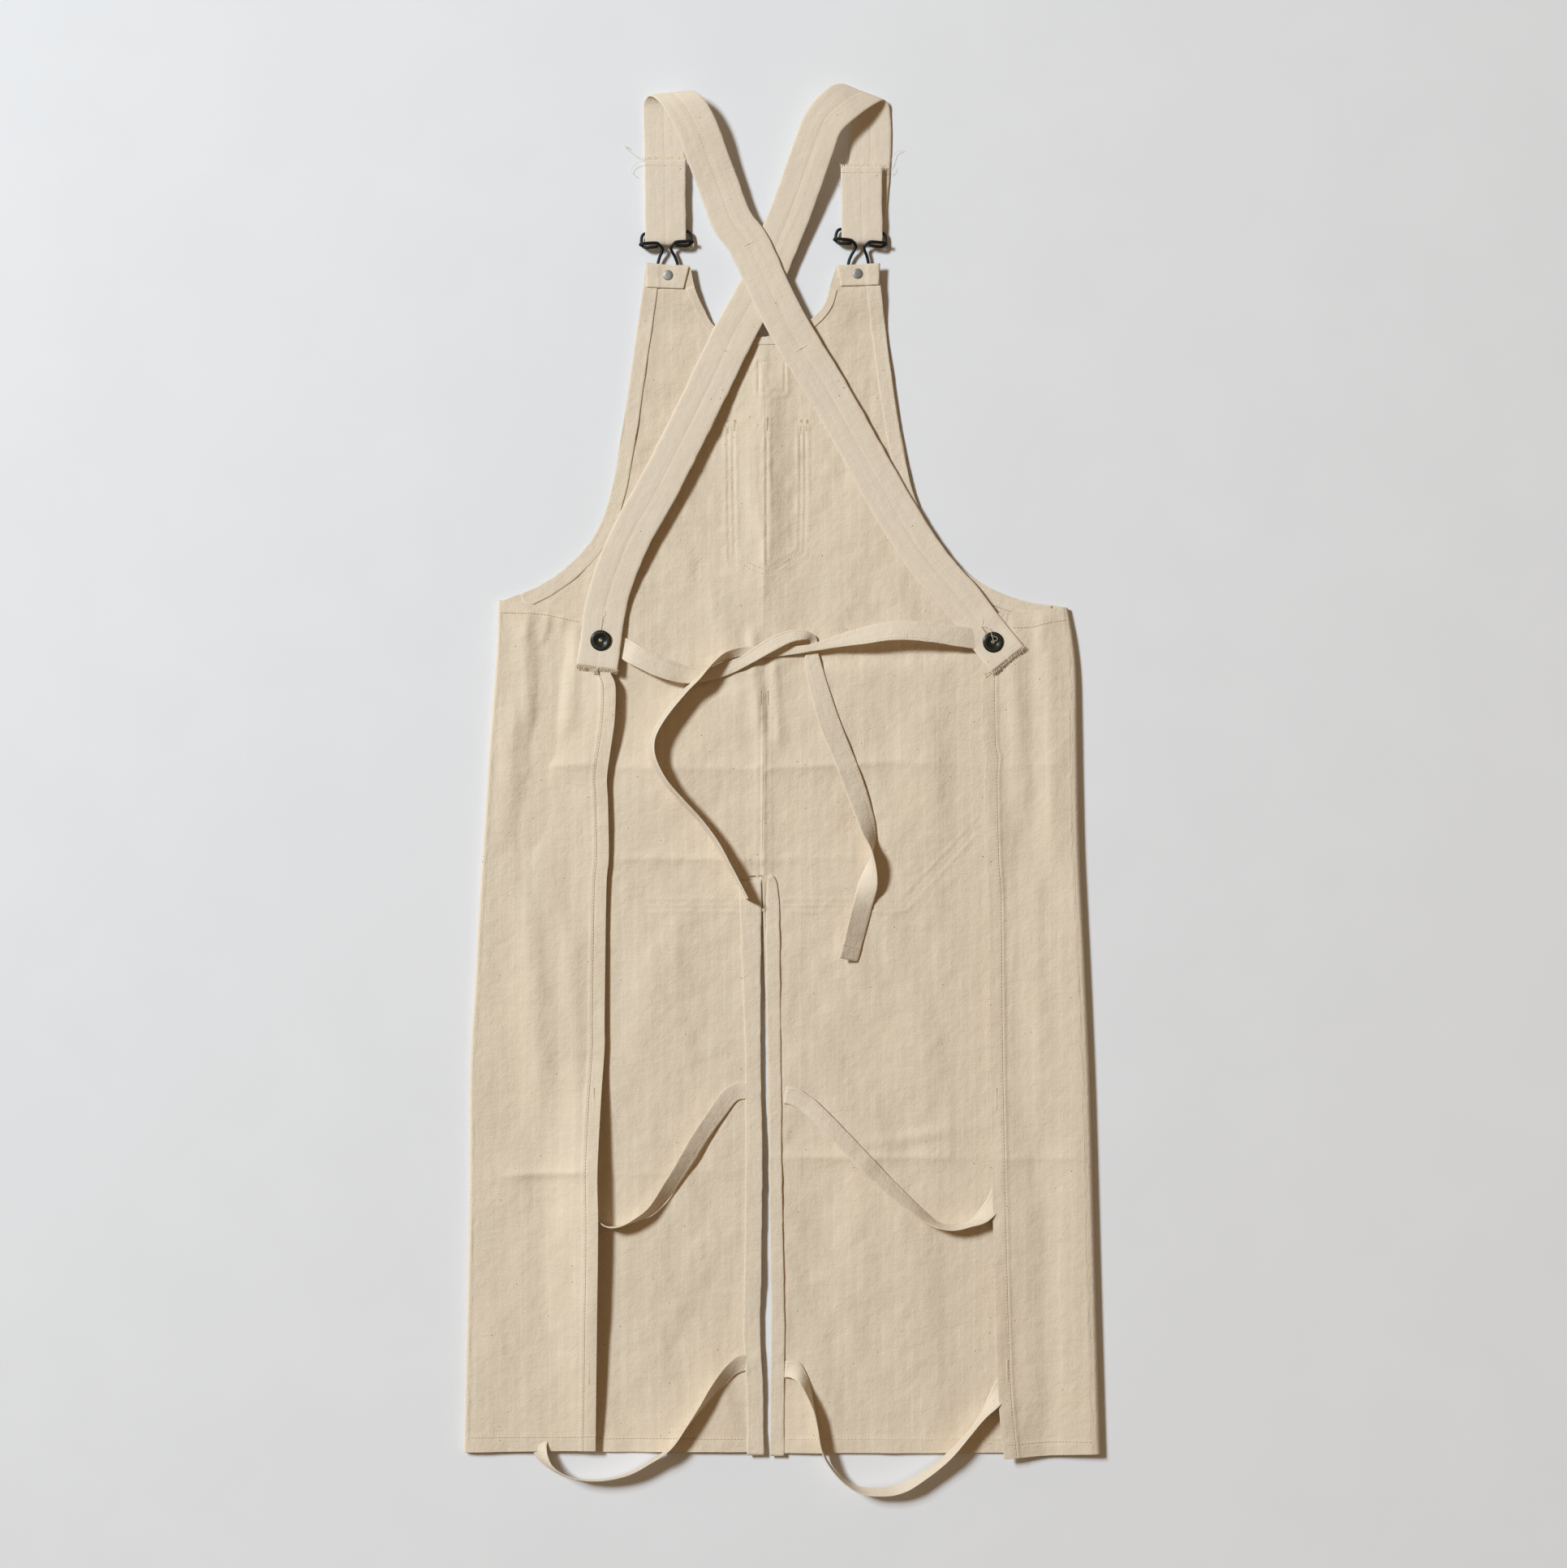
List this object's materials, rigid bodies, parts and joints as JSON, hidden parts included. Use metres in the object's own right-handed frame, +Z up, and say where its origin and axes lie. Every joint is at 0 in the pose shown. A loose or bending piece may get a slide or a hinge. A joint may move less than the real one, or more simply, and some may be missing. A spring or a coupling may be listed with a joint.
{
  "type": "artist smock apron",
  "caption": "Cross-back bib apron with split skirt, side wings folded over its back, buttoned straps with wire buckles, half-knotted waist ties and leg tapes",
  "frame": {"origin": "centre of the folded apron's plan, on the table it lies on", "axes": "+X to the right across the apron seen from above (looking at its inside), +Y from the hem to the shoulder straps, +Z up from the table"},
  "size_m": [0.585, 1.297, 0.0232],
  "materials": {
    "panel_twill": "natural unbleached herringbone cotton twill, soft and creased",
    "strap_twill": "doubled herringbone cotton twill, topstitched, raw frayed ends",
    "facing_twill": "narrow strips of the same twill, topstitched",
    "tape": "narrow folded ties of the same twill",
    "label": "small blank woven patch",
    "black_enamel": "satin black lacquer on brass wire and pressed steel buttons",
    "nickel_steel": "dull nickel-plated tack heads"
  },
  "bodies": {
    "apron": {"body_panel": "panel_twill", "neckline_facing": "facing_twill", "armhole_facing_left": "facing_twill", "armhole_facing_right": "facing_twill", "slit_facing_left": "facing_twill", "slit_facing_right": "facing_twill", "bib_corner_patch_left": "facing_twill", "bib_corner_patch_right": "facing_twill", "bib_pocket": "panel_twill", "waist_pocket": "panel_twill", "label_patch": "label", "bib_button_left": "black_enamel", "bib_button_right": "black_enamel", "bib_tack_left": "nickel_steel", "bib_tack_right": "nickel_steel", "strap_a_loop": "strap_twill", "strap_a_run": "strap_twill", "strap_b_loop": "strap_twill", "strap_b_run": "strap_twill", "waist_tie_left": "tape", "waist_tie_right": "tape", "leg_tape_upper_left": "tape", "leg_tape_upper_right": "tape", "leg_tape_lower_left": "tape", "leg_tape_lower_right": "tape"},
    "wing_left": {"wing_left": "panel_twill", "strap_b_wing_end": "strap_twill", "waist_button_left": "black_enamel", "waist_tack_left": "nickel_steel"},
    "wing_right": {"wing_right": "panel_twill", "strap_a_wing_end": "strap_twill", "waist_button_right": "black_enamel", "waist_tack_right": "nickel_steel"},
    "buckle_left": {"buckle_hanger_left": "black_enamel", "buckle_slide_left": "black_enamel", "strap_a_buckle_end": "strap_twill"},
    "buckle_right": {"buckle_hanger_right": "black_enamel", "buckle_slide_right": "black_enamel", "strap_b_buckle_end": "strap_twill"}
  },
  "joints": [
    {"name": "wing_left_fold", "type": "hinge", "parent": "apron", "child": "wing_left", "pos_m": [-0.2722, 0.105, 0.0032], "axis": [-0.0403, -0.9992, 0], "range_deg": [0, 60]},
    {"name": "wing_right_fold", "type": "hinge", "parent": "apron", "child": "wing_right", "pos_m": [0.26895, 0.15075, 0.0032], "axis": [-0.0394, 0.9992, 0], "range_deg": [0, 60]},
    {"name": "buckle_left_swivel", "type": "hinge", "parent": "apron", "child": "buckle_left", "pos_m": [-0.1052, 0.4564, 0.0045], "axis": [0, 0, 1], "range_deg": [-6, 6]},
    {"name": "buckle_right_swivel", "type": "hinge", "parent": "apron", "child": "buckle_right", "pos_m": [0.0694, 0.4579, 0.0045], "axis": [0, 0, 1], "range_deg": [-6, 6]}
  ]
}
